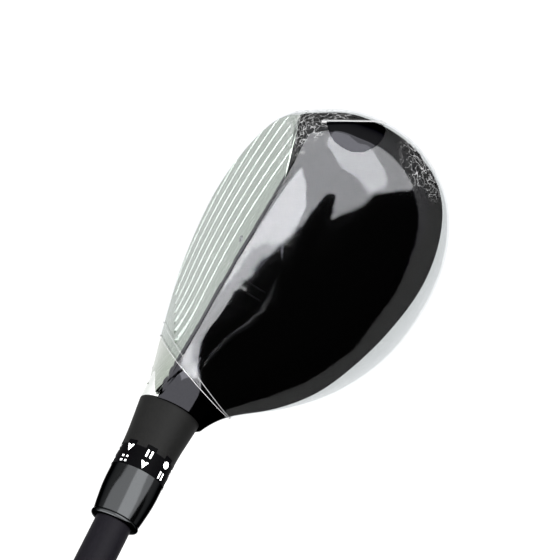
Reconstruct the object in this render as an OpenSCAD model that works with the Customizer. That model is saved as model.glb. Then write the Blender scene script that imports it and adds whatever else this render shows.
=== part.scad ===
// Hybrid golf club with an adjustable hosel, in millimetres.
// The head rests at address: +Z up, +X from heel to toe, +Y toward the target.
// The origin is the mouth of the wrench port in the sole, on the hosel axis.
// "Station" means a distance along the hosel axis from the origin toward the grip.

/* [Club] */
// Lie angle of the hosel axis above the ground
lie = 57; // [55:0.5:60]
// Loft of the face
loft = 21; // [18:0.5:24]
// Station of the butt end of the shaft
butt = 1013; // [960:1:1060]
// Tilt of the shaft bore inside the adapter sleeve
sleeve_tilt = 0.75; // [0:0.05:1]

/* [Head] */
// Height of the crown above the origin
crown_top = 35; // [33:0.5:37]
// Depth of the lowest point of the sole below the origin
sole_drop = 2.5; // [2:0.1:3]
// Horizontal radius of the face bulge
bulge_r = 320; // [280:5:400]
// Wall of the crown plate
crown_wall = 0.9; // [0.8:0.1:1.2]
// Wall of the body shell
body_wall = 1.6; // [1.4:0.1:2]
// Thickness of the face plate
face_wall = 2.4; // [2:0.1:2.8]
// Number of score lines on the face
groove_count = 7; // [5:1:7]
// Distance between the score lines
groove_pitch = 3.45; // [3:0.05:3.5]

/* [Hosel] */
// Outer radius of the hosel at the index ring
hosel_r = 7.1; // [7:0.05:7.3]
// Outer radius of the hosel where it meets the head
neck_r = 8.25; // [8:0.05:8.5]
// Station of the mouth of the hosel
hosel_end = 51.2; // [50:0.1:52]
// Radius of the hosel bore that takes the sleeve
hosel_bore = 5.9; // [5.8:0.05:6]
// Radius of the wrench port
port_r = 4.6; // [4.5:0.05:4.8]
// Number of settings around the index ring
settings = 8; // [4:4:8]

/* [Shaft and grip] */
// Outer radius of the shaft tip
tip_r = 4.7; // [4.5:0.05:4.7]
// Outer radius of the shaft butt
butt_r = 7.6; // [7.4:0.05:7.8]
// Length of the grip
grip_len = 268; // [255:1:275]
// Outer radius of the grip at its mouth
grip_mouth_r = 9.6; // [9.2:0.1:10]
// Outer radius of the grip at its butt
grip_butt_r = 13.1; // [12.8:0.1:13.5]

/* [Shrink film] */
// Distance from the head to the inside of the film
film_gap = 0.5; // [0.45:0.05:0.6]
// Thickness of the film
film_wall = 0.15; // [0.15:0.05:0.2]

/* [Hidden] */
$fn = 96;

// ---- head surface ----------------------------------------------------------------
// The widest line of the head, seen from above, as a closed smooth curve that starts at
// the toe and runs along the back to the heel. The front points lie ahead of the face,
// which cuts them off. Each row is x, y, height z, distance of the parting line inside
// the widest line, fullness of the crown section and fullness of the sole section.
outline = [
    [73, -10, 16, 0, 0.7, 1.2], [69, -23, 13, 0, 0.9, 1.1], [58.5, -34.5, 10.5, 0.3, 1.1, 1.1],
    [42.5, -41.5, 9, 2.5, 1.3, 1], [24.5, -43.5, 9, 5.5, 1.45, 1], [7.5, -41.5, 9.5, 8, 1.45, 1],
    [-8.5, -34, 10.5, 7.5, 1.35, 1], [-19.5, -22, 12, 5, 1.2, 1], [-23.5, -8, 13, 2, 1.1, 0.9],
    [-18.5, 8, 13, 0, 0.9, 0.9], [-3.5, 20, 13, 0, 0.85, 0.9], [25.5, 25, 14, 0, 0.7, 0.9],
    [56, 16.5, 18, 0, 0.52, 1.1], [71, 1.5, 19, 0, 0.5, 1.4]
];
// Plan position that every section of the head is drawn from
middle = [26.5, -11];
// Face: y of the topline at its height, and the radius of the roll
topline_y = 4.3;
topline_z = 32;
roll_r = 320;
// Neck blend: how far it climbs the hosel and how fast it fades
neck_climb = 12;
neck_fade = 5;
// Grid of the surface: columns per outline point, and rows
col_step = 4;
crown_rows = 7;
body_rows = 9;
face_rows = 4;
// Height and depth of a score line
groove_h = 0.7;
groove_deep = 0.4;
n_out = len(outline);
n_col = n_out * col_step;

axis_dir = [-cos(lie), 0, sin(lie)];

function unit(v) = v / norm(v);
function spline(a, b, c, d, t) =
    0.5 * (2 * b + (c - a) * t + (2 * a - 5 * b + 4 * c - d) * t * t + (3 * b - a - 3 * c + d) * pow(t, 3));
function outline_at(i) =
    let (k = floor(i / col_step), t = i / col_step - k)
    spline(outline[(k + n_out - 1) % n_out], outline[k % n_out], outline[(k + 1) % n_out],
           outline[(k + 2) % n_out], t);

// Face: y at height z on the centre line, then the reach of the face along direction d
function face_y(z) =
    topline_y + (topline_z - z) * tan(loft)
    - (pow(z - 15, 2) - pow(topline_z - 15, 2)) / (2 * roll_r);
function face_reach(d, z) =
    d[1] <= 0.02 ? 1e6 :
    let (k = d[0] * d[0] / bulge_r, q = face_y(z) - middle[1])
    k < 1e-9 ? q / d[1] : (-d[1] + sqrt(d[1] * d[1] + 2 * k * q)) / k;

// One column: [direction, radius, widest height, inset, crown and sole fullness]
function column(i) =
    let (m = outline_at(i), v = [m[0], m[1]] - middle)
    [v / norm(v), norm(v), m[2], max(m[3], 0), m[4], m[5]];
// Section point at angle a: 0 is the crown pole, 90 the widest line, 180 the sole pole
function section(c, a) =
    a <= 90 ? [c[1] * sin(a), c[2] + (crown_top - c[2]) * pow(max(cos(a), 0), c[4])]
            : [c[1] * sin(a), c[2] - (c[2] + sole_drop) * pow(max(-cos(a), 0), c[5])];
function beyond_face(c, a) = let (p = section(c, a)) p[0] > face_reach(c[0], p[1]);
// Angle at which the section crosses the face, between lo (inside) and hi (beyond it)
function crossing(c, lo, hi, n = 24) =
    n == 0 ? (lo + hi) / 2 :
    let (m = (lo + hi) / 2) beyond_face(c, m) ? crossing(c, lo, m, n - 1) : crossing(c, m, hi, n - 1);
function on_face(c) = beyond_face(c, 90);
function crown_edge(c) = on_face(c) ? crossing(c, 0, 90) : asin(1 - c[3] / c[1]);
function body_edge(c) = on_face(c) ? crossing(c, 180, 90) : crown_edge(c);

// The neck blend lifts the surface along the hosel axis, close to the hosel
function lifted(p) =
    let (s = p * axis_dir, r = norm(p - s * axis_dir), t = min(max((s - 8) / 16, 0), 1))
    p + axis_dir * neck_climb * exp(-max(r - neck_r, 0) / neck_fade) * t * t * (3 - 2 * t);
function in_space(c, p) = lifted([middle[0] + c[0][0] * p[0], middle[1] + c[0][1] * p[0], p[1]]);
function core_of(p) = [min(max(p[0], 4), 48), middle[1], 14];
function layer(p, off) = p + off * unit(p - core_of(p));

columns = [for (i = [0 : n_col - 1]) column(i)];
face_cols = [for (i = [0 : n_col - 1]) if (on_face(columns[i])) i];
face_first = face_cols[0] - 1;
face_last = face_cols[len(face_cols) - 1] + 1;

function crown_point(i, j) =
    let (c = columns[i], edge = crown_edge(c), k = 1 - pow(1 - j / crown_rows, 1.4))
    in_space(c, section(c, j == crown_rows ? edge : edge * k));
function body_point(i, j) =
    let (c = columns[i], edge = body_edge(c))
    in_space(c, section(c, j == body_rows ? edge : 180 - (180 - edge) * j / body_rows));
function face_point(i, j) =
    let (c = columns[i % n_col])
    !on_face(c) ? in_space(c, section(c, crown_edge(c))) :
    let (top = section(c, crown_edge(c)), low = section(c, body_edge(c)),
         z = top[1] + (low[1] - top[1]) * j / face_rows)
    in_space(c, j == 0 ? top : j == face_rows ? low : [face_reach(c[0], z), z]);

// Closed slab between two layers of a round cap. Row 0 is its pole. It is listed as the
// pole, then every column outward, first for the outer layer and then for the inner one.
function cap_index(i, j, rows) = j == 0 ? 0 : 1 + (i % n_col) * rows + j - 1;
function cap_half(rows, base, flip) = [
    for (i = [0 : n_col - 1], j = [0 : rows - 1])
    let (a = base + cap_index(i, j, rows), b = base + cap_index(i, j + 1, rows),
         c = base + cap_index(i + 1, j + 1, rows), d = base + cap_index(i + 1, j, rows))
    each concat(flip ? [[a, c, b]] : [[a, b, c]], j == 0 ? [] : flip ? [[a, d, c]] : [[a, c, d]])
];
function cap_rim(rows, base, flip) = [
    for (i = [0 : n_col - 1])
    let (a = cap_index(i, rows, rows), b = cap_index(i + 1, rows, rows))
    each flip ? [[a, b, b + base], [a, b + base, a + base]] : [[a, b + base, b], [a, a + base, b + base]]
];
module cap_slab(pole, grid, rows, outer, inner, flip) {
    base = 1 + n_col * rows;
    points = concat([pole], [for (i = [0 : n_col - 1], j = [1 : rows]) grid[i][j]]);
    polyhedron(
        points = concat([for (p = points) layer(p, outer)], [for (p = points) layer(p, inner)]),
        faces = concat(cap_half(rows, 0, flip), cap_half(rows, base, !flip), cap_rim(rows, base, flip)));
}
crown_grid = [for (i = [0 : n_col - 1]) [for (j = [0 : crown_rows]) crown_point(i, j)]];
body_grid = [for (i = [0 : n_col - 1]) [for (j = [0 : body_rows]) body_point(i, j)]];
module crown_slab(outer, inner) {
    cap_slab(lifted([middle[0], middle[1], crown_top]), crown_grid, crown_rows, outer, inner, false);
}
module body_slab(outer, inner) {
    cap_slab(lifted([middle[0], middle[1], -sole_drop]), body_grid, body_rows, outer, inner, true);
}

// Film: the same surface as one cap, from the crown pole round the face to a small vent
// hole at the sole pole
film_rows = crown_rows + face_rows + body_rows;
film_end = 175;
film_step = 4;
function film_point(i, j) =
    let (c = columns[i], top = crown_edge(c), low = on_face(c) ? body_edge(c) : top + film_step,
         f = (j - crown_rows) / face_rows, b = (j - crown_rows - face_rows) / body_rows)
    j <= crown_rows ? crown_point(i, j) :
    b > 0 ? in_space(c, section(c, low + (film_end - low) * b)) :
    on_face(c) ? face_point(i, j - crown_rows) : in_space(c, section(c, top + film_step * f));
film_grid = [for (i = [0 : n_col - 1]) [for (j = [0 : film_rows]) film_point(i, j)]];
module film_slab(outer, inner) {
    cap_slab(lifted([middle[0], middle[1], crown_top]), film_grid, film_rows, outer, inner, false);
}

// Closed slab of the face. Its first and last columns shrink to one point each.
face_n = face_last - face_first;
function face_index(c, r) = c == 0 ? 0 : c == face_n ? 1 : 2 + (c - 1) * (face_rows + 1) + r;
function face_half(base, flip) = [
    for (c = [0 : face_n - 1], r = [0 : face_rows - 1])
    let (p = base + face_index(c, r), q = base + face_index(c, r + 1),
         s = base + face_index(c + 1, r + 1), t = base + face_index(c + 1, r))
    each concat(c == 0 ? [] : [flip ? [p, s, q] : [p, q, s]],
                c == face_n - 1 ? [] : [flip ? [p, t, s] : [p, s, t]])
];
function face_rim(base) = [
    for (c = [0 : face_n - 1])
    let (p = face_index(c, 0), t = face_index(c + 1, 0),
         q = face_index(c, face_rows), s = face_index(c + 1, face_rows))
    each [[p, t, t + base], [p, t + base, p + base], [q, s + base, s], [q, q + base, s + base]]
];
module face_slab(outer, inner) {
    points = concat([face_point(face_first, 0), face_point(face_last, 0)],
        [for (c = [1 : face_n - 1], r = [0 : face_rows]) face_point(face_first + c, r)]);
    base = len(points);
    polyhedron(
        points = concat([for (p = points) layer(p, outer)], [for (p = points) layer(p, inner)]),
        faces = concat(face_half(0, false), face_half(base, true), face_rim(base)));
}

// ---- hosel axis -------------------------------------------------------------------
// Children are drawn with the hosel axis along +Z, station 0 at the origin
module along_hosel() { rotate([0, lie - 90, 0]) children(); }
module ring(z1, z2, r_in, r_out) {
    translate([0, 0, z1]) difference() {
        cylinder(h = z2 - z1, r = r_out);
        translate([0, 0, -1]) cylinder(h = z2 - z1 + 2, r = r_in);
    }
}
// Stations inside the hosel
floor_low = 14;
floor_high = 16.4;
seat_low = 8.5;
seat_r = 4.4;
screw_hole = 2.75;
sleeve_tip = 20;
sleeve_r = hosel_bore - 0.05;
shaft_seat = 31;
ring_h = 2.8;
flange_end = hosel_end + 2 * ring_h;
ferrule_end = flange_end + 13.4;
tab_deep = 1;
tab_wide = 2.5;
neck_station = 38;
// Foot of the hosel tube: its slopes follow the sole round the port
sole_rise_front = 6.8;
sole_rise_heel = 10.2;
tube_foot = 0.3;

module hosel_outside(low) {
    rotate_extrude() polygon([
        [0, low], [neck_r, low], [neck_r, neck_station], [hosel_r + 0.25, hosel_end - 5],
        [hosel_r, hosel_end - 1], [hosel_r, hosel_end], [0, hosel_end]
    ]);
}
// Tabs of the index ring, and the notches that they drop into
module tabs(gap) {
    inner = hosel_bore + 0.1 - 5 * gap;
    for (k = [0 : settings - 1]) rotate([0, 0, k * 360 / settings])
        translate([inner, -tab_wide / 2 - gap, hosel_end - tab_deep - gap])
            cube([hosel_r + gap - inner, tab_wide + 2 * gap, tab_deep + gap + 0.05]);
}

// Weight port in the sole, behind the middle of the head
weight_at = [30, -26, -1.3];
weight_lean = -11;
weight_r = 7;
weight_top = 6;
socket_r = weight_r + 1.6;
module at_weight() { translate(weight_at) rotate([weight_lean, 0, 0]) children(); }

// Children are drawn along the shaft axis, tilted in the sleeve about the shaft seat
module along_shaft() {
    along_hosel() translate([0, 0, shaft_seat]) rotate([0, sleeve_tilt, 0])
        translate([0, 0, -shaft_seat]) children();
}

// ---- head parts -------------------------------------------------------------------
module head_body() {
    color("silver") difference() {
        body_slab(0, -body_wall);
        along_hosel() hosel_outside(-10);
        at_weight() translate([0, 0, -4]) cylinder(h = 14, r = socket_r);
    }
}

// Score lines follow the bulge of the face
function arc(r, from, to, steps) =
    [for (k = [0 : steps]) let (a = from + (to - from) * k / steps) r * [cos(a), sin(a)]];
module score_lines() {
    for (k = [0 : groove_count - 1]) {
        z = 26 - k * groove_pitch;
        translate([middle[0], face_y(z) - bulge_r, z - groove_h / 2]) linear_extrude(groove_h)
            polygon(concat(arc(bulge_r - groove_deep, 83.4, 95.6, 24), arc(bulge_r + 3, 95.6, 83.4, 24)));
    }
}
module face_plate() {
    color("gainsboro") difference() {
        face_slab(0, -face_wall);
        along_hosel() hosel_outside(6);
        score_lines();
    }
}

module crown_plate() {
    color([0.05, 0.05, 0.07]) difference() {
        crown_slab(0, -crown_wall);
        along_hosel() hosel_outside(6);
    }
}

module hosel_tube() {
    color([0.2, 0.2, 0.2]) difference() {
        along_hosel() difference() {
            hosel_outside(-10);
            translate([0, 0, -11]) cylinder(h = seat_low + 11, r = port_r);
            translate([0, 0, seat_low - 1]) cylinder(h = floor_low - seat_low + 1, r = seat_r);
            translate([0, 0, floor_low - 1]) cylinder(h = 4, r = screw_hole);
            translate([0, 0, floor_high]) cylinder(h = hosel_end, r = hosel_bore);
            tabs(0.1);
        }
        rotate([sole_rise_front, sole_rise_heel, 0]) translate([-60, -60, tube_foot - 60]) cube([120, 120, 60]);
    }
}
module toe_weight() {
    color("dimgray") translate([48, -14, 2.1]) rotate([3, -13, 0]) cylinder(h = 9, r = 6);
}
module heel_weight() {
    color("dimgray") translate([11, -18, 0.6]) rotate([-2, 5, 0]) cylinder(h = 5, r = 5);
}
module weight_socket() {
    color("silver") at_weight() difference() {
        cylinder(h = weight_top + 1.6, r = socket_r);
        translate([0, 0, -1]) cylinder(h = 3.1, r = weight_r + 0.1);
        cylinder(h = weight_top, r = 4.1);
    }
}

// ---- fastener parts ---------------------------------------------------------------
screw_r = 2.5;
screw_head_r = 4.1;
screw_head_low = 9;
screw_head_high = 13;
module screw_washer() {
    color("silver") along_hosel() ring(screw_head_high, floor_low, screw_r + 0.2, 4.2);
}
module hosel_screw() {
    color("dimgray") along_hosel() difference() {
        rotate_extrude() polygon([
            [0, screw_head_low], [screw_head_r - 0.5, screw_head_low], [screw_head_r, screw_head_low + 0.5],
            [screw_head_r, screw_head_high], [screw_r, screw_head_high], [screw_r, 26.5], [screw_r - 0.6, 27.1],
            [0, 27.1]
        ]);
        for (k = [0 : 2]) translate([0, 0, screw_head_low - 1]) rotate([0, 0, k * 60])
            translate([-2.2, -0.6, 0]) cube([4.4, 1.2, 3.4]);
    }
}
module screw_retainer() {
    color("white") along_hosel() ring(floor_high + 0.2, floor_high + 1.4, screw_r, 4.6);
}
module sole_weight() {
    color("dimgray") at_weight() difference() {
        rotate_extrude() polygon([
            [0, 0], [weight_r - 0.5, 0], [weight_r, 0.5], [weight_r, 2], [4, 2], [4, 5.6], [0, 5.6]
        ]);
        for (k = [0 : 2]) translate([0, 0, -1]) rotate([0, 0, k * 60])
            translate([-2.6, -0.7, 0]) cube([5.2, 1.4, 3]);
        rotate_extrude() translate([weight_r, 1.2]) circle(r = 0.5, $fn = 24);
    }
}
module weight_o_ring() {
    color("black") at_weight() rotate_extrude() intersection() {
        translate([weight_r, 1.2]) circle(r = 0.48, $fn = 24);
        square([weight_r + 0.08, 4]);
    }
}

// ---- shaft unit -------------------------------------------------------------------
module setting_ring() {
    color([0.1, 0.1, 0.1]) along_hosel() {
        ring(hosel_end, hosel_end + ring_h, hosel_bore + 0.1, hosel_r);
        tabs(0);
    }
}
module adapter_sleeve() {
    color([0.15, 0.15, 0.15]) difference() {
        along_hosel() difference() {
            union() {
                translate([0, 0, sleeve_tip]) cylinder(h = flange_end - sleeve_tip, r = sleeve_r);
                translate([0, 0, hosel_end + ring_h]) cylinder(h = ring_h, r = hosel_r + 0.05);
            }
            translate([0, 0, sleeve_tip - 1]) cylinder(h = 9.5, r = screw_r + 0.06);
        }
        along_shaft() translate([0, 0, shaft_seat]) cylinder(h = 60, r = tip_r + 0.05);
    }
}
module ferrule() {
    color([0.03, 0.03, 0.03]) difference() {
        along_hosel() rotate_extrude() {
            polygon([
                [4, flange_end], [hosel_r - 0.05, flange_end], [hosel_r - 0.05, flange_end + 3.5],
                [hosel_r - 0.35, flange_end + 7.5], [6.05, ferrule_end - 0.9], [6.05, ferrule_end], [4, ferrule_end]
            ]);
            translate([5.65, ferrule_end - 0.75]) circle(r = 0.7, $fn = 32);
        }
        along_shaft() translate([0, 0, flange_end - 5]) cylinder(h = 40, r = tip_r + 0.05);
    }
}

tip_parallel = 100;
shaft_wall = 1.2;
function shaft_r(s) = tip_r + (butt_r - tip_r) * max(s - tip_parallel, 0) / (butt - tip_parallel);
module shaft() {
    color([0.16, 0.15, 0.18]) along_shaft() rotate_extrude() polygon([
        [tip_r - shaft_wall, shaft_seat], [tip_r, shaft_seat], [tip_r, tip_parallel], [butt_r, butt],
        [butt_r - shaft_wall, butt], [tip_r - shaft_wall, tip_parallel]
    ]);
}
module tip_weight() {
    color("goldenrod") along_shaft() translate([0, 0, shaft_seat + 1]) cylinder(h = 14, r = tip_r - shaft_wall - 0.05);
}
tape_wall = 0.25;
grip_start = butt - grip_len;
module grip_tape() {
    color("khaki") along_shaft() rotate_extrude() polygon([
        [shaft_r(grip_start + 2), grip_start + 2], [shaft_r(grip_start + 2) + tape_wall, grip_start + 2],
        [butt_r + tape_wall, butt], [butt_r, butt]
    ]);
}
module grip() {
    color([0.07, 0.07, 0.07]) along_shaft() rotate_extrude() polygon([
        [shaft_r(grip_start) + tape_wall, grip_start], [grip_mouth_r - 0.8, grip_start],
        [grip_mouth_r, grip_start + 1], [grip_mouth_r + 0.6, grip_start + 60],
        [grip_butt_r - 1.2, butt - 70], [grip_butt_r, butt - 12], [grip_butt_r, butt],
        [butt_r + tape_wall, butt]
    ]);
}
vent_r = 2;
cap_h = 4;
module grip_end_cap() {
    color([0.05, 0.05, 0.05]) along_shaft() rotate_extrude() polygon([
        [vent_r, butt], [grip_butt_r + 0.1, butt], [grip_butt_r + 0.1, butt + 1.2],
        [grip_butt_r - 0.5, butt + 2.8], [grip_butt_r - 2.2, butt + cap_h], [vent_r, butt + cap_h]
    ]);
}

// ---- shrink film ------------------------------------------------------------------
// Half-moon vent at the toe: its middle, radius, and the turn of its straight side
toe_vent_at = [73, -5.5, 19.8];
toe_vent_r = 7.2;
toe_vent_lean = 35;
toe_vent_turn = 28;
film_neck = 35;
film_neck_r = 9.4;
module shrink_film() {
    color([0.9, 0.95, 1, 0.3]) difference() {
        film_slab(film_gap + film_wall, film_gap);
        along_hosel() translate([0, 0, film_neck]) cylinder(h = 30, r = 30);
        along_hosel() translate([0, 0, -10]) cylinder(h = 60, r = film_neck_r);
        at_weight() translate([0, 0, -4]) cylinder(h = 5, r = socket_r + 0.6);
        translate(toe_vent_at) rotate([0, toe_vent_lean, 0]) rotate([0, 0, toe_vent_turn])
            translate([0, 0, -3]) intersection() {
                cylinder(h = 12, r = toe_vent_r);
                translate([-8, -8, 0]) cube([8, 16, 12]);
            }
    }
}

head_body();
face_plate();
crown_plate();
hosel_tube();
toe_weight();
heel_weight();
weight_socket();
screw_washer();
shrink_film();
hosel_screw();
screw_retainer();
sole_weight();
weight_o_ring();
setting_ring();
adapter_sleeve();
ferrule();
shaft();
tip_weight();
grip_tape();
grip();
grip_end_cap();
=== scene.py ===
import math

import bmesh
import bpy
import numpy as np
from mathutils import Matrix, Vector, kdtree, noise


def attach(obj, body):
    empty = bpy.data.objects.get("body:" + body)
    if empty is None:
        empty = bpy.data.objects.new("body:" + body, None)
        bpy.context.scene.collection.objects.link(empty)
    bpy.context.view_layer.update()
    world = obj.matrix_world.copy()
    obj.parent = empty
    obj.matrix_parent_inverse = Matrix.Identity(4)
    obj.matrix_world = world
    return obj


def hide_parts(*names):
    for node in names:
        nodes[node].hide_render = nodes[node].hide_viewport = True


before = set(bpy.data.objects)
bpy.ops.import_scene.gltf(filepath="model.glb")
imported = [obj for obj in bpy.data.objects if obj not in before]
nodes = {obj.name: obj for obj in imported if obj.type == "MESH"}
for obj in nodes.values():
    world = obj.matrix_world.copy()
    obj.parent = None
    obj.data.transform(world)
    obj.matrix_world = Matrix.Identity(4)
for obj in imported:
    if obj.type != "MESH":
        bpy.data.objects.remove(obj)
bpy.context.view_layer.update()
MM = 0.001

# ---------------------------------------------------------------- camera
CAMERA_AT = Vector((368.96, 23.97, 507.49)) * MM
cam_data = bpy.data.cameras.new("camera")
cam_data.sensor_width = 36.0
cam_data.lens = 156.84
cam_data.clip_start, cam_data.clip_end = 0.01, 50.0
camera = bpy.data.objects.new("camera", cam_data)
bpy.context.scene.collection.objects.link(camera)
look = Vector((-0.578, -0.054, -0.814)).normalized()
right = Vector((0.406, -0.884, -0.23))
right = (right - look * right.dot(look)).normalized()
up = right.cross(look)
camera.matrix_world = (Matrix.Translation(CAMERA_AT)
                       @ Matrix((right, up, -look)).transposed().to_4x4())
bpy.context.scene.camera = camera
view_settings = bpy.context.scene.view_settings
view_settings.view_transform = "Standard"

# ---------------------------------------------------------------- the head's surface, in mm
# The same rule as the CAD's head, sampled finely and with its sharp edges rounded.
LIE, LOFT = math.radians(57), math.radians(21)
CROWN_TOP, SOLE_DROP, BULGE, ROLL = 35.0, 2.5, 320.0, 320.0
# A point on the face near its upper edge, and the height in the middle of its roll
TOP_Y, TOP_Z, ROLL_Z = 4.3, 32.0, 15
# The blend into the hosel: how far it climbs and fades, and the stations where it starts and is full
NECK_R, NECK_CLIMB, NECK_FADE = 8.25, 12.0, 5.0
NECK_LOW, NECK_SPAN = 8, 16
# The station where the hosel's outside starts to narrow
NECK_STATION = 38
HOSEL_END, HOSEL_R = 51.2, 7.1
MIDDLE = np.array([26.5, -11.0])
AXIS = np.array([-math.cos(LIE), 0.0, math.sin(LIE)])
ACROSS = np.array([math.sin(LIE), 0.0, math.cos(LIE)])
SIDE = np.array([0.0, 1.0, 0.0])
# x, y, z of the widest line, inset of the parting line, fullness of crown and sole
OUTLINE = np.array([
    [73, -10, 16, 0, 0.7, 1.2], [69, -23, 13, 0, 0.9, 1.1], [58.5, -34.5, 10.5, 0.3, 1.1, 1.1],
    [42.5, -41.5, 9, 2.5, 1.3, 1], [24.5, -43.5, 9, 5.5, 1.45, 1], [7.5, -41.5, 9.5, 8, 1.45, 1],
    [-8.5, -34, 10.5, 7.5, 1.35, 1], [-19.5, -22, 12, 5, 1.2, 1], [-23.5, -8, 13, 2, 1.1, 0.9],
    [-18.5, 8, 13, 0, 0.9, 0.9], [-3.5, 20, 13, 0, 0.85, 0.9], [25.5, 25, 14, 0, 0.7, 0.9],
    [56, 16.5, 18, 0, 0.52, 1.1], [71, 1.5, 19, 0, 0.5, 1.4],
])


def outline_at(t):
    n = len(OUTLINE)
    k = int(math.floor(t))
    u = t - k
    a, b, c, d = (OUTLINE[(k + m) % n] for m in (-1, 0, 1, 2))
    return 0.5 * (2 * b + (c - a) * u + (2 * a - 5 * b + 4 * c - d) * u * u
                  + (3 * b - a - 3 * c + d) * u ** 3)


def face_y(z):
    roll = ((z - ROLL_Z) ** 2 - (TOP_Z - ROLL_Z) ** 2) / (2 * ROLL)
    return TOP_Y + (TOP_Z - z) * math.tan(LOFT) - roll


def face_reach(d, z):
    if d[1] <= 0.02:
        return np.full_like(z, 1e6)
    k = d[0] ** 2 / BULGE
    q = face_y(z) - MIDDLE[1]
    if k < 1e-9:
        return q / d[1]
    return (-d[1] + np.sqrt(d[1] ** 2 + 2 * k * q)) / k


def section(c, a):
    """Plan distance from the middle, and height, at angles a in degrees."""
    rad = np.radians(a)
    top = c["z"] + (CROWN_TOP - c["z"]) * np.maximum(np.cos(rad), 0) ** c["bu"]
    low = c["z"] - (c["z"] + SOLE_DROP) * np.maximum(-np.cos(rad), 0) ** c["bl"]
    return c["r"] * np.sin(rad), np.where(a <= 90, top, low)


def column(t):
    m = outline_at(t)
    v = m[:2] - MIDDLE
    r = float(np.linalg.norm(v))
    return {"d": v / r, "r": r, "z": m[2], "inset": max(m[3], 0.0), "bu": m[4], "bl": m[5]}


def beyond(c, a):
    r, z = section(c, np.array([a]))
    return r[0] > face_reach(c["d"], z)[0]


def crossing(c, inside, outside):
    for _ in range(26):
        m = (inside + outside) / 2
        if beyond(c, m):
            outside = m
        else:
            inside = m
    return (inside + outside) / 2


def lifted(p):
    s = p @ AXIS
    r = np.linalg.norm(p - s[..., None] * AXIS, axis=-1)
    t = np.clip((s - NECK_LOW) / NECK_SPAN, 0, 1)
    rise = NECK_CLIMB * np.exp(-np.maximum(r - NECK_R, 0) / NECK_FADE) * t * t * (3 - 2 * t)
    return p + AXIS * rise[..., None]


def profile(c, soft):
    """The column's section as points with their arc lengths, and those of the two parting lines."""
    on = beyond(c, 90)
    top = crossing(c, 0, 90) if on else math.degrees(math.asin(1 - c["inset"] / c["r"]))
    low = crossing(c, 180, 90) if on else top
    a = np.unique(np.concatenate([np.linspace(0, 180, 721), [top, low]]))
    r, z = section(c, a)
    reach = face_reach(c["d"], z)
    h = np.clip(0.5 + 0.5 * (reach - r) / soft, 0, 1)
    r = np.where(reach > 1e5, r, np.minimum(reach, 1e3) * (1 - h) + r * h - soft * h * (1 - h))
    p = np.column_stack([MIDDLE[0] + c["d"][0] * r, MIDDLE[1] + c["d"][1] * r, z])
    s = np.concatenate([[0], np.cumsum(np.linalg.norm(np.diff(p, axis=0), axis=1))])
    s_top, s_low = np.interp([top, low], a, s)
    if on:  # the crown laps a little way over the topline
        s_top = s_top + min(1.0, 0.25 * (s_low - s_top))
    return on, p, s, s_top, s_low


def along(p, s, at):
    return np.column_stack([np.interp(at, s, p[:, k]) for k in range(3)])


def graded(n, ends=0.15, share=0.4, both=False):
    """Fractions from 0 to 1, closer together near the end (or near both ends)."""
    m = int(n * share)
    if both:
        return np.concatenate([np.linspace(0, ends, m + 1)[:-1],
                               np.linspace(ends, 1 - ends, n - 2 * m + 1)[:-1],
                               np.linspace(1 - ends, 1, m + 1)])
    return np.concatenate([np.linspace(0, 1 - ends, n - m + 1)[:-1],
                           np.linspace(1 - ends, 1, m + 1)])


# Columns between two outline points, and how widely the edge of the face is rounded
PER = 20
COLS = len(OUTLINE) * PER
FACE_SOFT, FILM_SOFT = 1.8, 3.0
crown_f, face_f = graded(46), graded(44, 0.12, 0.25, True)
body_f = 1 - graded(40)[::-1]
crown_rows, face_rows, body_rows, on_face = [], [], [], []
for i in range(COLS):
    on, p, s, s_top, s_low = profile(column(i / PER), FACE_SOFT)
    on_face.append(on)
    crown_rows.append(along(p, s, crown_f * s_top))
    face_rows.append(along(p, s, s_top + face_f * (s_low - s_top)))
    body_rows.append(along(p, s, s_low + body_f * (s[-1] - s_low)))
crown_rows, face_rows, body_rows = (np.array(g) for g in (crown_rows, face_rows, body_rows))
face_cols = [i for i in range(COLS) if on_face[i]]
face_cols = [face_cols[0] - 1] + face_cols + [face_cols[-1] + 1]
for i in (face_cols[0], face_cols[-1] % COLS):
    face_rows[i] = crown_rows[i][-1]
face_cols = [i % COLS for i in face_cols]


# ---------------------------------------------------------------- mesh helpers
def link(mesh, name):
    obj = bpy.data.objects.new(name, mesh)
    bpy.context.scene.collection.objects.link(obj)
    return obj


def refine_neck(bm):
    """Halves the faces near the hosel twice, then lifts the surface into the neck blend."""
    axis = Vector(AXIS)
    for reach in (0.017, 0.0145):
        edges = []
        for e in bm.edges:
            m = (e.verts[0].co + e.verts[1].co) / 2
            along_axis = m.dot(axis)
            if along_axis > 0.006 and (m - axis * along_axis).length < reach:
                edges.append(e)
        bmesh.ops.subdivide_edges(bm, edges=edges, cuts=1, use_grid_fill=True)
    pts = lifted(np.array([v.co for v in bm.verts]) / MM) * MM
    for v, p in zip(bm.verts, pts):
        v.co = p


def grid_object(name, grid, wrap, neck=False):
    """A surface through grid[column][row], in mm. Points that coincide are joined."""
    grid = np.asarray(grid) * MM
    nc, nr = grid.shape[:2]
    faces = []
    for i in range(nc if wrap else nc - 1):
        k = (i + 1) % nc
        for j in range(nr - 1):
            faces.append((i * nr + j, i * nr + j + 1, k * nr + j + 1, k * nr + j))
    mesh = bpy.data.meshes.new(name)
    mesh.from_pydata(grid.reshape(-1, 3).tolist(), [], faces)
    bm = bmesh.new()
    bm.from_mesh(mesh)
    bmesh.ops.remove_doubles(bm, verts=bm.verts, dist=2e-6)
    bmesh.ops.dissolve_degenerate(bm, dist=1e-7, edges=bm.edges)
    loose = [v for v in bm.verts if not v.link_faces]
    bmesh.ops.delete(bm, geom=loose, context="VERTS")
    if neck:
        refine_neck(bm)
    bm.to_mesh(mesh)
    bm.free()
    return link(mesh, name)


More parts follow.
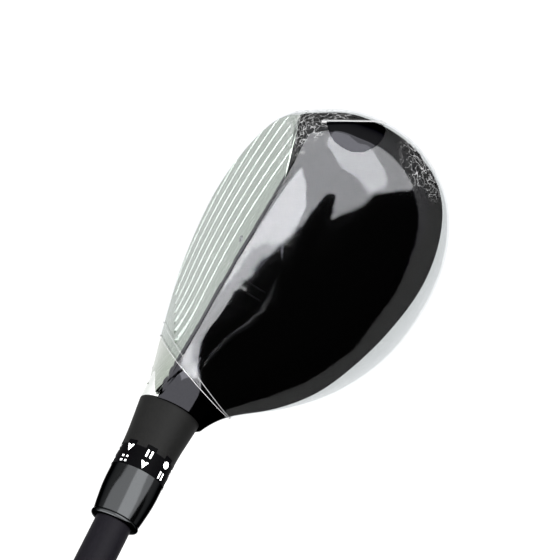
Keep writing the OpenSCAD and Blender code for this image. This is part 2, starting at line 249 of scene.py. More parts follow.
def face_outward(obj, centre):
    mesh = obj.data
    total = sum((p.center - Vector(centre)).dot(p.normal) * p.area for p in mesh.polygons)
    if total < 0:
        mesh.flip_normals()


def bake(obj):
    dg = bpy.context.evaluated_depsgraph_get()
    mesh = bpy.data.meshes.new_from_object(obj.evaluated_get(dg))
    obj.modifiers.clear()
    obj.data = mesh


def thicken(obj, wall, offset=-1.0):
    mod = obj.modifiers.new("wall", "SOLIDIFY")
    mod.thickness = wall
    mod.offset = offset
    mod.use_even_offset = False
    bake(obj)


def cut(obj, *tools):
    for tool in tools:
        mod = obj.modifiers.new("cut", "BOOLEAN")
        mod.operation = "DIFFERENCE"
        mod.solver = "MANIFOLD"
        mod.object = tool
        bake(obj)


def smooth(obj, angle=35):
    obj.data.shade_smooth()
    obj.data.set_sharp_from_angle(angle=math.radians(angle))


def revolved(name, outline, to_world, steps=96):
    """A closed solid of revolution from (radius, height) in mm: from axis to axis, or a loop."""
    pts = []
    line = outline + [outline[0]] if outline[0][0] > 0 else outline
    for i in range(steps):
        a = 2 * math.pi * i / steps
        pts.append([[r * math.cos(a), r * math.sin(a), z] for r, z in line])
    obj = grid_object(name, pts, True)
    outward(obj.data)
    obj.data.transform(to_world)
    return obj


def outward(mesh, close=False):
    """Turns every face outward, after closing open ends where asked."""
    bm = bmesh.new()
    bm.from_mesh(mesh)
    if close:
        bmesh.ops.holes_fill(bm, edges=[e for e in bm.edges if e.is_boundary], sides=8)
    bmesh.ops.recalc_face_normals(bm, faces=bm.faces)
    bm.to_mesh(mesh)
    bm.free()


def drop(*objs):
    for o in objs:
        bpy.data.objects.remove(o)


HOSEL = Matrix((ACROSS, SIDE, AXIS)).transposed().to_4x4()
TILT = math.radians(0.75)
SEAT = 31  # station of the shaft's tip, where its bore tilts
SHAFT = (HOSEL @ Matrix.Translation((0, 0, SEAT * MM)) @ Matrix.Rotation(TILT, 4, "Y")
         @ Matrix.Translation((0, 0, -SEAT * MM)))
WEIGHT_LEAN = math.radians(-11)
WEIGHT = (Matrix.Translation((0.030, -0.026, -0.0013))
          @ Matrix.Rotation(WEIGHT_LEAN, 4, "X"))


# ---------------------------------------------------------------- materials
def material(name, color, metallic=0.0, roughness=0.4, specular=0.5):
    m = bpy.data.materials.new(name)
    m.use_nodes = True
    b = m.node_tree.nodes["Principled BSDF"]
    b.inputs["Base Color"].default_value = (*color, 1)
    b.inputs["Metallic"].default_value = metallic
    b.inputs["Roughness"].default_value = roughness
    b.inputs["Specular IOR Level"].default_value = specular
    return m


def detail(m, scale, color_a, color_b, rough=(0.3, 0.4), bump=0.1, depth=0.00002,
           stretch=(1, 1, 1)):
    """Noise that varies the colour, the roughness and the relief of a material."""
    t = m.node_tree
    b = t.nodes["Principled BSDF"]
    coords = t.nodes.new("ShaderNodeTexCoord")
    mapping = t.nodes.new("ShaderNodeMapping")
    mapping.inputs["Scale"].default_value = stretch
    tex = t.nodes.new("ShaderNodeTexNoise")
    tex.inputs["Scale"].default_value = scale
    tex.inputs["Detail"].default_value = 4.0
    t.links.new(coords.outputs["Object"], mapping.inputs["Vector"])
    t.links.new(mapping.outputs["Vector"], tex.inputs["Vector"])
    ramp = t.nodes.new("ShaderNodeValToRGB")
    ramp.color_ramp.elements[0].position = 0.3
    ramp.color_ramp.elements[0].color = (*color_a, 1)
    ramp.color_ramp.elements[1].position = 0.7
    ramp.color_ramp.elements[1].color = (*color_b, 1)
    t.links.new(tex.outputs["Fac"], ramp.inputs["Fac"])
    t.links.new(ramp.outputs["Color"], b.inputs["Base Color"])
    span = t.nodes.new("ShaderNodeMapRange")
    span.inputs["From Min"].default_value = 0.3
    span.inputs["From Max"].default_value = 0.7
    span.inputs["To Min"].default_value, span.inputs["To Max"].default_value = rough
    t.links.new(tex.outputs["Fac"], span.inputs["Value"])
    t.links.new(span.outputs["Result"], b.inputs["Roughness"])
    if bump:
        relief = t.nodes.new("ShaderNodeBump")
        relief.inputs["Strength"].default_value = bump
        relief.inputs["Distance"].default_value = depth
        t.links.new(tex.outputs["Fac"], relief.inputs["Height"])
        t.links.new(relief.outputs["Normal"], b.inputs["Normal"])
    return m


crown_mat = detail(material("crown_lacquer", (0.013, 0.013, 0.014), 1.0, 0.07),
                   4000, (0.0085, 0.0085, 0.0095), (0.0105, 0.0105, 0.0118), (0.05, 0.07), 0.0)
body_mat = detail(material("blasted_steel", (0.6, 0.62, 0.61), 1.0, 0.3),
                  2500, (0.44, 0.455, 0.45), (0.5, 0.515, 0.51), (0.22, 0.28), 0.06, 0.00001)
face_mat = detail(material("milled_face", (0.42, 0.45, 0.42), 1.0, 0.3),
                  900, (0.28, 0.31, 0.27), (0.34, 0.37, 0.33), (0.22, 0.28), 0.08, 0.00001,
                  stretch=(0.25, 1, 4))
hosel_mat = detail(material("matte_hosel", (0.014, 0.0137, 0.0134), 0.0, 0.5, specular=0.025),
                   3000, (0.0014, 0.0014, 0.0014), (0.0026, 0.0026, 0.0025), (0.45, 0.55), 0.3, 0.00003)
ring_mat = detail(material("ring_satin", (0.009, 0.009, 0.01), 0.0, 0.3, specular=0.004),
                  1500, (0.0003, 0.0003, 0.0004), (0.0007, 0.0007, 0.0008), (0.25, 0.36), 0.15, 0.00002,
                  stretch=(1, 1, 6))
ferrule_mat = detail(material("ferrule_gloss", (0.014, 0.0145, 0.016), 1.0, 0.2),
                     6000, (0.0125, 0.013, 0.0135), (0.0145, 0.015, 0.0155), (0.14, 0.15), 0.0)
shaft_mat = detail(material("shaft_lacquer", (0.013, 0.012, 0.017), 0.0, 0.4, specular=0.015),
                   700, (0.0014, 0.0013, 0.0018), (0.0022, 0.002, 0.0027), (0.36, 0.46), 0.1, 0.00002,
                   stretch=(1, 6, 1))
# The score lines' walls: the face's own bare steel made darker, a painted shade in the grooves
groove_shade_mat = detail(material("groove_walls_painted_shade", (0.09, 0.1, 0.09), 1.0, 0.4), 900, (0.08, 0.085, 0.08),
                    (0.1, 0.11, 0.1),
                    (0.36, 0.44), 0.0)
trim_mat = detail(material("lapped_paint", (0.008, 0.008, 0.009), 0.0, 0.5, specular=0.1), 2000,
                  (0.006, 0.006, 0.007), (0.01, 0.01, 0.011), (0.45, 0.55), 0.1)
# A lacquer's reflections without their rise at the rim, where the pale floor would wash them out
for m, tint in ((crown_mat, 0.02), (ferrule_mat, 0.3)):
    m.node_tree.nodes["Principled BSDF"].inputs["Specular Tint"].default_value = (tint, tint, tint, 1)
white_mat = detail(material("white_paint", (0.8, 0.8, 0.8), 0, 0.4), 2000, (0.45, 0.45, 0.45),
                   (0.55, 0.55, 0.55),
                   (0.35, 0.5), 0.1)
screw_mat = detail(material("turned_steel", (0.45, 0.46, 0.48), 1.0, 0.3), 1800, (0.38, 0.39, 0.41),
                   (0.5, 0.51, 0.53), (0.22, 0.38), 0.1)
weight_mat = detail(material("anodised_weight", (0.08, 0.08, 0.085), 0.7, 0.35), 1500,
                    (0.06, 0.06, 0.065),
                    (0.1, 0.1, 0.105), (0.3, 0.4), 0.1)
tungsten_mat = detail(material("sintered", (0.3, 0.3, 0.32), 1.0, 0.5), 1200, (0.24, 0.24, 0.26),
                      (0.34, 0.34, 0.36),
                      (0.45, 0.6), 0.3)
nylon_mat = detail(material("nylon", (0.85, 0.85, 0.82), 0, 0.5), 900, (0.8, 0.8, 0.77),
                   (0.88, 0.88, 0.85))
brass_mat = detail(material("brass_plug", (0.6, 0.45, 0.2), 1.0, 0.3), 900, (0.55, 0.4, 0.17),
                   (0.64, 0.48, 0.22))
tape_mat = detail(material("paper_tape", (0.75, 0.68, 0.5), 0, 0.8), 500, (0.7, 0.63, 0.45),
                  (0.8, 0.73, 0.56),
                  (0.75, 0.9))
seal_mat = detail(material("seal_rubber", (0.015, 0.015, 0.015), 0, 0.6), 900, (0.01, 0.01, 0.01),
                  (0.02, 0.02, 0.02),
                  (0.5, 0.7))
grip_mat = detail(material("grip_rubber", (0.006, 0.006, 0.0064), 0, 0.7, specular=0.15), 2500,
                  (0.004, 0.004, 0.0043),
                  (0.009, 0.009, 0.0095), (0.6, 0.8), 0.4, 0.00005)
cap_mat = detail(material("cap_rubber", (0.004, 0.004, 0.004), 0, 0.5, specular=0.1), 1500,
                 (0.003, 0.003, 0.003),
                 (0.006, 0.006, 0.006), (0.4, 0.6), 0.2)


def math_node(t, operation, first, second=None):
    """A Math node whose inputs are sockets or numbers."""
    n = t.nodes.new("ShaderNodeMath")
    n.operation = operation
    for socket, value in zip(n.inputs, (first, second)):
        if isinstance(value, (int, float)):
            socket.default_value = value
        elif value is not None:
            t.links.new(value, socket)
    return n.outputs["Value"]


def near_zero(t, value, width):
    """1 where a value is 0, falling to 0 at a distance of width."""
    span = t.nodes.new("ShaderNodeMapRange")
    span.inputs["From Max"].default_value = width
    span.inputs["To Min"].default_value, span.inputs["To Max"].default_value = 1.0, 0.0
    t.links.new(math_node(t, "ABSOLUTE", value), span.inputs["Value"])
    return span.outputs["Result"]


def zone(t, position, centre, radius):
    """1 at a point, falling to 0 at a distance from it, all in metres."""
    away = t.nodes.new("ShaderNodeVectorMath")
    away.operation = "DISTANCE"
    away.inputs[1].default_value = centre
    t.links.new(position, away.inputs[0])
    return near_zero(t, away.outputs["Value"], radius)


def side_of(t, position, origin, normal):
    """Signed distance of the surface from a plane, in metres."""
    away = t.nodes.new("ShaderNodeVectorMath")
    away.operation = "SUBTRACT"
    away.inputs[1].default_value = origin
    t.links.new(position, away.inputs[0])
    across = t.nodes.new("ShaderNodeVectorMath")
    across.operation = "DOT_PRODUCT"
    across.inputs[1].default_value = normal
    t.links.new(away.outputs["Vector"], across.inputs[0])
    return across.outputs["Value"]


def film_material():
    m = bpy.data.materials.new("clear_film")
    m.use_nodes = True
    t = m.node_tree
    t.nodes.remove(t.nodes["Principled BSDF"])
    out = t.nodes["Material Output"]
    clear = t.nodes.new("ShaderNodeBsdfTransparent")
    clear.inputs["Color"].default_value = (0.97, 0.975, 0.98, 1)
    gloss = t.nodes.new("ShaderNodeBsdfGlossy")
    gloss.inputs["Roughness"].default_value = 0.06
    mix = t.nodes.new("ShaderNodeMixShader")
    facing = t.nodes.new("ShaderNodeLayerWeight")
    facing.inputs["Blend"].default_value = 0.5
    share = t.nodes.new("ShaderNodeMapRange")
    share.inputs["To Min"].default_value = 0.015
    share.inputs["To Max"].default_value = 0.02
    coords = t.nodes.new("ShaderNodeTexCoord")
    position = coords.outputs["Object"]
    tex = t.nodes.new("ShaderNodeTexNoise")
    tex.inputs["Scale"].default_value = 160
    tex.inputs["Detail"].default_value = 2
    relief = t.nodes.new("ShaderNodeBump")
    relief.inputs["Strength"].default_value = 0.12
    relief.inputs["Distance"].default_value = 0.00005
    t.links.new(position, tex.inputs["Vector"])
    t.links.new(tex.outputs["Fac"], relief.inputs["Height"])
    t.links.new(relief.outputs["Normal"], gloss.inputs["Normal"])
    t.links.new(relief.outputs["Normal"], facing.inputs["Normal"])
    t.links.new(math_node(t, "POWER", facing.outputs["Facing"], 5.0), share.inputs["Value"])
    t.links.new(share.outputs["Result"], mix.inputs["Fac"])
    t.links.new(clear.outputs["BSDF"], mix.inputs[1])
    t.links.new(gloss.outputs["BSDF"], mix.inputs[2])
    # Creases scatter white: fine stretched lines where the film is gathered, and the cut edges
    creases = None
    for scale, seed in ((430, 0.0), (760, 3.0)):
        mapping = t.nodes.new("ShaderNodeMapping")
        mapping.inputs["Location"].default_value = (seed, seed, seed)
        mapping.inputs["Rotation"].default_value = (0.5, 0.3, 0.9 + seed)
        mapping.inputs["Scale"].default_value = (1.0, 0.28, 1.0)
        fold = t.nodes.new("ShaderNodeTexNoise")
        fold.inputs["Scale"].default_value = scale
        fold.inputs["Detail"].default_value = 1
        t.links.new(position, mapping.inputs["Vector"])
        t.links.new(mapping.outputs["Vector"], fold.inputs["Vector"])
        line = near_zero(t, math_node(t, "SUBTRACT", fold.outputs["Fac"], 0.5), 0.016)
        creases = line if creases is None else math_node(t, "MAXIMUM", creases, line)
    gathered = None
    for centre, radius in CREASED:
        here = zone(t, position, centre, radius)
        gathered = here if gathered is None else math_node(t, "MAXIMUM", gathered, here)
    white = math_node(t, "MULTIPLY", creases, math_node(t, "MINIMUM", gathered, 0.55))
    cut_edge = near_zero(t, side_of(t, position, FILM_END, FILM_CUT), 0.0002)
    folded = side_of(t, position, FILM_END - FILM_CUT * 0.0012, FILM_CUT + Vector((0, 0.1, 0)))
    second = near_zero(t, folded, 0.00012)
    second = math_node(t, "MULTIPLY", second, 0.5)
    white = math_node(t, "MAXIMUM", white, math_node(t, "MAXIMUM", cut_edge, second))
    from_vent = t.nodes.new("ShaderNodeVectorMath")
    from_vent.operation = "DISTANCE"
    from_vent.inputs[1].default_value = VENT.translation
    t.links.new(position, from_vent.inputs[0])
    straight = near_zero(t, side_of(t, position, VENT.translation, VENT.to_3x3().col[0]), 0.00045)
    on_vent = math_node(t, "LESS_THAN", from_vent.outputs["Value"], 0.0086)
    white = math_node(t, "MAXIMUM", white, math_node(t, "MULTIPLY", straight, on_vent))
    haze = t.nodes.new("ShaderNodeBsdfDiffuse")
    haze.inputs["Color"].default_value = (0.16, 0.16, 0.16, 1)
    creased = t.nodes.new("ShaderNodeMixShader")
    t.links.new(white, creased.inputs["Fac"])
    t.links.new(mix.outputs["Shader"], creased.inputs[1])
    t.links.new(haze.outputs["BSDF"], creased.inputs[2])
    t.links.new(creased.outputs["Shader"], out.inputs["Surface"])
    return m


# Where the film is gathered: at the toe end of the face, and behind the toe
CREASED = [((0.066, 0.006, 0.0225), 0.010), ((0.0705, 0.0, 0.021), 0.006),
           ((0.0695, -0.0235, 0.0150), 0.008), ((0.066, -0.0295, 0.0135), 0.006)]
# The film's end at the neck: a point on its plane, and the side that is open
FILM_END = Vector((-0.0105, -0.0055, 0.0315))
FILM_CUT = Vector((-0.768, 0.37, 0.521)).normalized()
# The half-moon vent at the toe
VENT = (Matrix.Translation((0.073, -0.0055, 0.0198)) @ Matrix.Rotation(math.radians(35), 4, "Y")
        @ Matrix.Rotation(math.radians(28), 4, "Z"))
film_mat = film_material()


# Station on the hosel axis where the head's finish ends and the matte coating starts
COAT_EDGE = 38.3


def coat_above(m, station, bare):
    """Below a station on the hosel axis the material is bare metal, in colour and in metalness."""
    t = m.node_tree
    b = t.nodes["Principled BSDF"]
    coords = t.nodes.new("ShaderNodeTexCoord")
    dot_axis = t.nodes.new("ShaderNodeVectorMath")
    dot_axis.operation = "DOT_PRODUCT"
    dot_axis.inputs[1].default_value = Vector(AXIS)
    edge = t.nodes.new("ShaderNodeMapRange")
    edge.inputs["From Min"].default_value = (station - 0.1) * MM
    edge.inputs["From Max"].default_value = (station + 0.1) * MM
    t.links.new(coords.outputs["Object"], dot_axis.inputs[0])
    t.links.new(dot_axis.outputs["Value"], edge.inputs["Value"])
    mix = t.nodes.new("ShaderNodeMix")
    mix.data_type = "RGBA"
    mix.inputs["A"].default_value = (*bare, 1)
    coated = b.inputs["Base Color"].links[0].from_socket
    t.links.new(edge.outputs["Result"], mix.inputs["Factor"])
    t.links.new(coated, mix.inputs["B"])
    t.links.new(mix.outputs["Result"], b.inputs["Base Color"])
    metal = t.nodes.new("ShaderNodeMapRange")
    metal.inputs["To Min"].default_value, metal.inputs["To Max"].default_value = 1.0, 0.0
    t.links.new(edge.outputs["Result"], metal.inputs["Value"])
    t.links.new(metal.outputs["Result"], b.inputs["Metallic"])


BARE_STEEL = (0.4, 0.41, 0.4)
coat_above(hosel_mat, COAT_EDGE - 0.4, BARE_STEEL)


def paint(obj, *mats):
    obj.data.materials.clear()
    for m in mats:
        obj.data.materials.append(m)


def keep_node(name, mat):
    obj = nodes[name]
    for s in obj.material_slots:
        s.link = "OBJECT"
        s.material = mat


for name, mat in {
    "hosel_tube": hosel_mat, "toe_weight": tungsten_mat, "heel_weight": tungsten_mat,
                  "weight_socket": body_mat,
    "screw_washer": screw_mat, "hosel_screw": screw_mat, "screw_retainer": nylon_mat,
                  "sole_weight": weight_mat,
    "weight_o_ring": seal_mat, "setting_ring": ring_mat, "adapter_sleeve": ring_mat,
                  "ferrule": ferrule_mat,
    "shaft": shaft_mat, "tip_weight": brass_mat, "grip_tape": tape_mat, "grip_end_cap": cap_mat,
}.items():
    keep_node(name, mat)

# ---------------------------------------------------------------- head shells
CENTRE = (0.026, -0.011, 0.014)
CROWN_WALL, BODY_WALL, FACE_WALL = 0.9, 1.6, 2.4


def hosel_tool(low):
    line = [(0, low), (NECK_R, low), (NECK_R, NECK_STATION), (HOSEL_R + 0.25, HOSEL_END - 5),
            (HOSEL_R + 0.25, HOSEL_END + 5), (0, HOSEL_END + 5)]
    return revolved("hosel_tool", line, HOSEL, 128)


def disc_tool(r, low, high, where):
    return revolved("disc_tool", [(0, low), (r, low), (r, high), (0, high)], where, 96)


def past_coat_edge():
    """Everything beyond the station where the head's finish ends."""
    return disc_tool(30, COAT_EDGE, 70, HOSEL)


def shell(name, grid, wrap, wall, mats, body, node, tools):
    obj = grid_object(name, grid, wrap, neck=True)
    face_outward(obj, CENTRE)
    thicken(obj, wall * MM)
    cut(obj, *tools)
    drop(*tools)
    paint(obj, *mats)
    smooth(obj)
    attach(obj, body)
    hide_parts(node)
    return obj


crown = shell("crown_shell", crown_rows, True, CROWN_WALL, [crown_mat], "head", "crown_plate",
              [hosel_tool(6), past_coat_edge()])
shell("body_shell", body_rows, True, BODY_WALL, [body_mat], "head", "head_body",
      [hosel_tool(-10), disc_tool(8.6, -4, 10, WEIGHT), past_coat_edge()])


# Score lines: how many, the height of the first, their pitch, half-width and depth
GROOVES, GROOVE_TOP, GROOVE_PITCH, GROOVE_HALF, GROOVE_DEEP = 7, 26, 3.45, 0.29, 0.45
# The angles that they span on the bulge
GROOVE_FROM, GROOVE_SPAN = 95.6, 12.2


def groove_tool(k):
    """A curved bar that follows the bulge of the face and cuts one score line."""
    z = GROOVE_TOP - k * GROOVE_PITCH
    y0 = face_y(z) - BULGE
    sect = [(-GROOVE_DEEP, -GROOVE_HALF + 0.12), (3, -GROOVE_HALF - 0.9), (3, GROOVE_HALF + 0.9),
            (-GROOVE_DEEP, GROOVE_HALF - 0.12)]
    pts = []
    for q in range(41):
        a = math.radians(GROOVE_FROM - GROOVE_SPAN * q / 40)
        pts.append([[MIDDLE[0] + (BULGE + dr) * math.cos(a), y0 + (BULGE + dr) * math.sin(a), z + dz]
                    for dr, dz in sect + [sect[0]]])
    obj = grid_object("groove_tool", pts, False)
    outward(obj.data, close=True)
    return obj


face = shell("face_shell", face_rows[face_cols], False, FACE_WALL, [face_mat, groove_shade_mat, trim_mat],
             "head", "face_plate",
             [hosel_tool(6), past_coat_edge()] + [groove_tool(k) for k in range(GROOVES)])
# The walls of the score lines are the polygons that tilt away from the face; they take the painted shade of
# the grooves
LOFT_NORMAL = Vector((0, math.cos(LOFT), math.sin(LOFT)))
for p in face.data.polygons:
    tilt = p.normal.dot(LOFT_NORMAL)
    if 0.003 < p.center.z < 0.0275 and -0.2 < tilt < 0.9 and abs(p.normal.x) < 0.5:
        p.material_index = 1
# The crown's paint laps over the topline onto the face
PAINT_LAP = 0.0016
edge_points = lifted(crown_rows[face_cols[1:-1], -1]) * MM
topline = kdtree.KDTree(len(edge_points))
for k, point in enumerate(edge_points):
    topline.insert(Vector(point), k)
topline.balance()
for p in face.data.polygons:
    if topline.find(p.center)[2] < PAINT_LAP and p.normal.y > 0:
        p.material_index = 2

# ---------------------------------------------------------------- shrink film
FILM_GAP, FILM_WALL = 0.45, 0.04
film_cols = []
for i in range(COLS):
    p, s = profile(column(i / PER), FILM_SOFT)[1:3]
    film_cols.append(along(p, s, np.linspace(0, s[-1] * 0.985, 150)))
film_grid = np.array(film_cols)


def grid_normals(g):
    du = np.roll(g, -1, axis=0) - np.roll(g, 1, axis=0)
    dv = np.gradient(g, axis=1)
    n = np.cross(du, dv)
    length = np.linalg.norm(n, axis=2, keepdims=True)
    n = n / np.maximum(length, 1e-9)
    n[:, 0] = [0, 0, 1]
    out = ((g - np.array(CENTRE) / MM) * n).sum(axis=2, keepdims=True)
    return np.where(out < 0, -n, n)


film_n = grid_normals(film_grid)
lift = np.zeros(film_grid.shape[:2])
for i in range(film_grid.shape[0]):
    for j in range(film_grid.shape[1]):
        x, y, z = film_grid[i, j]
        broad = noise.noise(Vector((x, y, z)) * 0.12)
        fine = noise.noise(Vector((x * 0.5, y * 0.5, z * 0.5 + 7)))
        lift[i, j] = FILM_GAP + 0.05 * broad + 0.015 * fine
film_grid = film_grid + film_n * lift[..., None]

film = grid_object("film_skin", film_grid, True, neck=True)
face_outward(film, CENTRE)
thicken(film, FILM_WALL * MM, 1.0)
half = disc_tool(7.2, -3, 9, VENT)
neck = disc_tool(40, 0, 60, Matrix.Translation(FILM_END)
                 @ FILM_CUT.to_track_quat("Z", "Y").to_matrix().to_4x4())
port = disc_tool(8.4, -10, 60, HOSEL)
weight_hole = disc_tool(8.0, -4, 1.5, WEIGHT)
box_mesh = bpy.data.meshes.new("half_box")
box_obj = link(box_mesh, "half_box")
bm = bmesh.new()
bmesh.ops.create_cube(bm, size=1)
half_box = VENT @ Matrix.Translation((0.01, 0, 0.003)) @ Matrix.Diagonal((0.02, 0.03, 0.03, 1))
bmesh.ops.transform(bm, matrix=half_box, verts=bm.verts)
bm.to_mesh(box_mesh)
bm.free()
cut(half, box_obj)
cut(film, neck, port, weight_hole, half)
drop(half, neck, port, weight_hole, box_obj)
paint(film, film_mat)
smooth(film, 60)
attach(film, "head")
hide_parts("shrink_film")

# ---------------------------------------------------------------- ferrule and shaft
FLANGE_END = 56.8
TIP_R, BUTT_R, TAPER_AT, BUTT = 4.7, 7.6, 100, 1013.0


def bead(radius, station, r, steps=14):
    """A half-round bead on the outside of a revolved outline."""
    return [(radius + r * math.cos(a), station + r * math.sin(a))
            for a in (math.radians(-70 + 140 * k / steps) for k in range(steps + 1))]


ferrule_line = ([(3.5, FLANGE_END), (7.0, FLANGE_END), (7.05, FLANGE_END + 0.05),
                 (7.05, FLANGE_END + 3.5),
            (6.95, FLANGE_END + 5.6), (6.75, FLANGE_END + 7.5), (6.45, FLANGE_END + 9.9),
                 (6.1, FLANGE_END + 12.1)]
           + bead(5.65, FLANGE_END + 12.65, 0.7) + [(5.6, FLANGE_END + 13.4), (3.5, FLANGE_END + 13.4)])
ferrule = revolved("ferrule_skin", ferrule_line, HOSEL, 192)
BORE_R = TIP_R + 0.05
bore = revolved("bore", [(0, FLANGE_END - 5), (BORE_R, FLANGE_END - 5), (BORE_R, FLANGE_END + 35),
                         (0, FLANGE_END + 35)], SHAFT, 128)
cut(ferrule, bore)
drop(bore)
paint(ferrule, ferrule_mat)
smooth(ferrule, 40)
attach(ferrule, "shaft_unit")
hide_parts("ferrule")

shaft = revolved("shaft_skin", [(3.5, SEAT), (TIP_R, SEAT), (TIP_R, 60), (TIP_R, TAPER_AT),
                                (BUTT_R, BUTT),
                                (6.4, BUTT), (3.5, TAPER_AT)], SHAFT, 192)
paint(shaft, shaft_mat)
smooth(shaft, 40)
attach(shaft, "shaft_unit")
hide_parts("shaft")

# ---------------------------------------------------------------- grip
GRIP_LEN = 268.0
START = BUTT - GRIP_LEN
# The moulded pattern: cells around, their length, its depth, and the length of its bands
GRIP_SIDES, CELLS, CELL_LEN, CELL_DEEP, BAND_LEN = 128, 16, 5.2, 0.28, 44


def grip_radius(s):
    return float(np.interp(s, [START, START + 1, START + 60, BUTT - 70, BUTT - 12, BUTT],
                           [8.8, 9.6, 10.2, 11.9, 13.1, 13.1]))


def grip_inner(s):
    return TIP_R + (BUTT_R - TIP_R) * max(s - TAPER_AT, 0) / (BUTT - TAPER_AT) + 0.25


pts = []
stations = np.concatenate([np.linspace(START, START + 1, 4), np.linspace(START + 1.5, BUTT, 536)])
for q in range(GRIP_SIDES):
    a = 2 * math.pi * q / GRIP_SIDES
    ring = []
    for s in stations:
        u = q / GRIP_SIDES * CELLS
        v = (s - START) / CELL_LEN
        cell = 0.5 + 0.5 * math.cos(2 * math.pi * (u + v / 2)) * math.cos(2 * math.pi * (u - v / 2))
        edge = min(max((s - START - 8) / 3, 0), 1) * min(max((BUTT - 10 - s) / 3, 0), 1)
        band = 1.0 if int((s - START) / BAND_LEN) % 2 == 0 else 0.35
        r = grip_radius(s) - CELL_DEEP * edge * band * (1 - min(1.0, cell * 1.8))
        ring.append([r * math.cos(a), r * math.sin(a), s])
    inner = [[grip_inner(s) * math.cos(a), grip_inner(s) * math.sin(a), s] for s in (BUTT, START)]
    pts.append(ring + inner + [ring[0]])
grip = grid_object("grip_skin", pts, True)
outward(grip.data)
grip.data.transform(SHAFT)
paint(grip, grip_mat)
smooth(grip, 40)
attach(grip, "shaft_unit")
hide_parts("grip")


# ---------------------------------------------------------------- painted marks on the ring and the sleeve
def band_mark(name, corners, radius, station, turn, body_name):
    """A thin raised mark on the hosel: a polygon of (across, along) in mm, wrapped on a radius."""
    outer = radius + 0.05
    verts, faces = [], []
    n = len(corners)
    for rr in (outer, radius - 0.03):
        for x, s in corners:
            a = turn + x / radius
            verts.append((rr * math.cos(a) * MM, rr * math.sin(a) * MM, (station + s) * MM))
    faces.append(tuple(range(n)))
    faces.append(tuple(range(2 * n - 1, n - 1, -1)))
    for k in range(n):
        m = (k + 1) % n
        faces.append((k, n + k, n + m, m))
    mesh = bpy.data.meshes.new(name)
    mesh.from_pydata(verts, [], faces)
    outward(mesh)
    mesh.transform(HOSEL)
    obj = link(mesh, name)
    paint(obj, white_mat)
    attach(obj, body_name)
    return obj


def bar(x, s, w, h):
    return [(x - w / 2, s - h / 2), (x + w / 2, s - h / 2), (x + w / 2, s + h / 2), (x - w / 2, s + h / 2)]


def dot(x, s, r):
    turns = [2 * math.pi * k / 12 for k in range(12)]
    return [(x + r * math.cos(a), s + r * math.sin(a)) for a in turns]


def wedge(x, s, w, h):
    return [(x - w / 2, s - h / 2), (x + w / 2, s - h / 2), (x, s + h / 2)]


shapes = [
    [bar(-0.55, 0, 0.45, 1.9), bar(0.55, 0, 0.45, 1.9)], [wedge(0, 0, 1.9, 1.9)],
    [bar(0, 0.6, 1.9, 0.5), bar(0, -0.6, 1.9, 0.5)], [dot(0, 0, 0.95)],
]
# Stations of the marks on the ring and on the sleeve
MARK_AT = (52.3, 55.4)
RING_TURN, SLEEVE_TURN = 0.0, math.radians(1)
for k in range(8):
    for m, poly in enumerate(shapes[k % 4]):
        band_mark(f"ring_mark_{k}_{m}", poly, HOSEL_R, MARK_AT[0], RING_TURN + math.pi / 4 * k,
                  "index_ring")
    for m, poly in enumerate(shapes[(k + 1) % 4]):
        band_mark(f"sleeve_mark_{k}_{m}", poly, HOSEL_R + 0.05, MARK_AT[1],
                  SLEEVE_TURN + math.pi / 4 * k, "shaft_unit")

# ---------------------------------------------------------------- generic marks on the crown and the face
def crown_bar(name, low, high):
    """A thin painted bar that follows the crown, between two corners in plan, in mm."""
    pts = []
    for x in np.linspace(low[0], high[0], 9):
        column = []
        for y in np.linspace(low[1], high[1], 9):
            hit = crown.ray_cast(Vector((x, y, 60)) * MM, Vector((0, 0, -1)))
            column.append([x, y, hit[1].z / MM + 0.05])
        pts.append(column)
    obj = grid_object(name, pts, False)
    thicken(obj, 0.07 * MM, 0.0)
    paint(obj, ring_mat)
    smooth(obj, 40)
    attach(obj, "head")


crown_bar("alignment_mark_0", (25.0, -1.0), (28.4, -0.2))
crown_bar("alignment_mark_1", (25.0, -5.8), (25.5, -1.0))
crown_bar("alignment_mark_2", (27.9, -5.8), (28.4, -1.0))
face_spot = Vector((34.9, 5.3, 29.5)) * MM
spot_way = Vector((0.016, 0.92, 0.39)).to_track_quat("Z", "Y").to_matrix().to_4x4()
spot = revolved("face_dot", [(0.45, -0.2), (0.85, -0.2), (0.85, 0.04), (0.8, 0.08), (0.5, 0.08), (0.45, 0.04)],
                Matrix.Translation(face_spot) @ spot_way, 48)
paint(spot, weight_mat)
smooth(spot, 30)
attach(spot, "head")

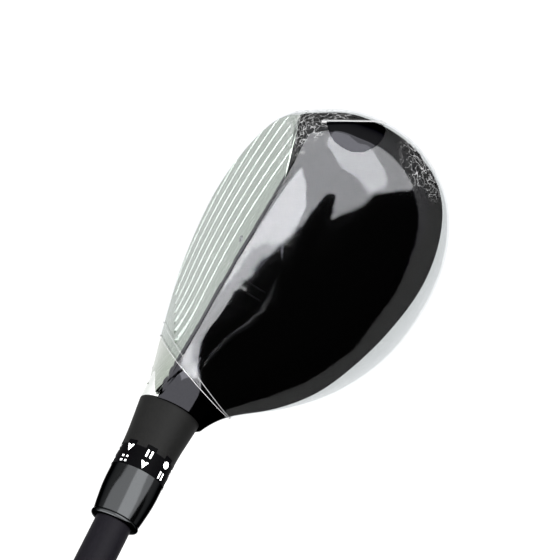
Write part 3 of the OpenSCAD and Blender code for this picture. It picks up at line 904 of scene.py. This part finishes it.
# ---------------------------------------------------------------- studio
floor_mesh = bpy.data.meshes.new("floor")
floor_mesh.from_pydata([(-6, -6, 0), (6, -6, 0), (6, 6, 0), (-6, 6, 0)], [], [(0, 1, 2, 3)])
floor = link(floor_mesh, "floor")
floor.location.z = -SOLE_DROP * MM - 0.0002
floor_mat = bpy.data.materials.new("pale_floor")
floor_mat.use_nodes = True
fb = floor_mat.node_tree.nodes["Principled BSDF"]
fb.inputs["Base Color"].default_value = (0.06, 0.06, 0.06, 1)
fb.inputs["Roughness"].default_value = 0.9
fb.inputs["Specular IOR Level"].default_value = 0.0
fb.inputs["Emission Color"].default_value = (1, 1, 1, 1)
fb.inputs["Emission Strength"].default_value = 0.8
paint(floor, floor_mat)

world = bpy.data.worlds.new("studio")
bpy.context.scene.world = world
world.use_nodes = True
bg = world.node_tree.nodes["Background"]
bg.inputs["Color"].default_value = (1, 1, 1, 1)
WALL_GIVES, WALL_SEEN = 0.03, 0.95
bg.inputs["Strength"].default_value = WALL_GIVES
# The camera sees a white wall behind the floor, which lights the club only faintly
rays = world.node_tree.nodes.new("ShaderNodeLightPath")
seen = world.node_tree.nodes.new("ShaderNodeMapRange")
seen.inputs["To Min"].default_value, seen.inputs["To Max"].default_value = WALL_GIVES, WALL_SEEN
world.node_tree.links.new(rays.outputs["Is Camera Ray"], seen.inputs["Value"])
world.node_tree.links.new(seen.outputs["Result"], bg.inputs["Strength"])


HEAD_AT = Vector((0.03, -0.01, 0.015))


def panel(name, edge, low, half_width, power):
    """A light panel between the middles of its two edges, both as seen from the head, in metres."""
    data = bpy.data.lights.new(name, "AREA")
    data.shape = "RECTANGLE"
    edge, low = Vector(edge), Vector(low)
    down = (low - edge).normalized()
    middle = (edge + low) / 2
    side = down.cross(-middle).normalized()
    facing = side.cross(down).normalized()
    data.size, data.size_y = 2 * half_width, (low - edge).length
    data.energy = power
    obj = bpy.data.objects.new(name, data)
    bpy.context.scene.collection.objects.link(obj)
    turned = Matrix((side, -down, -facing)).transposed().to_4x4()
    obj.matrix_world = Matrix.Translation(HEAD_AT + middle) @ turned
    obj.visible_camera = False
    return obj


panel("window_panel", (-0.79, -0.593, 2.833), (2.75, 2.075, 0.2), 5.5, 1562)
panel("toe_card", (0.47, -0.24, 0.75), (0.47, -0.24, -0.03), 0.46, 20)
panel("streak_panel", (-0.3, 0.25, 2.375), (-2.0, 1.6, 0.55), 0.55, 131)
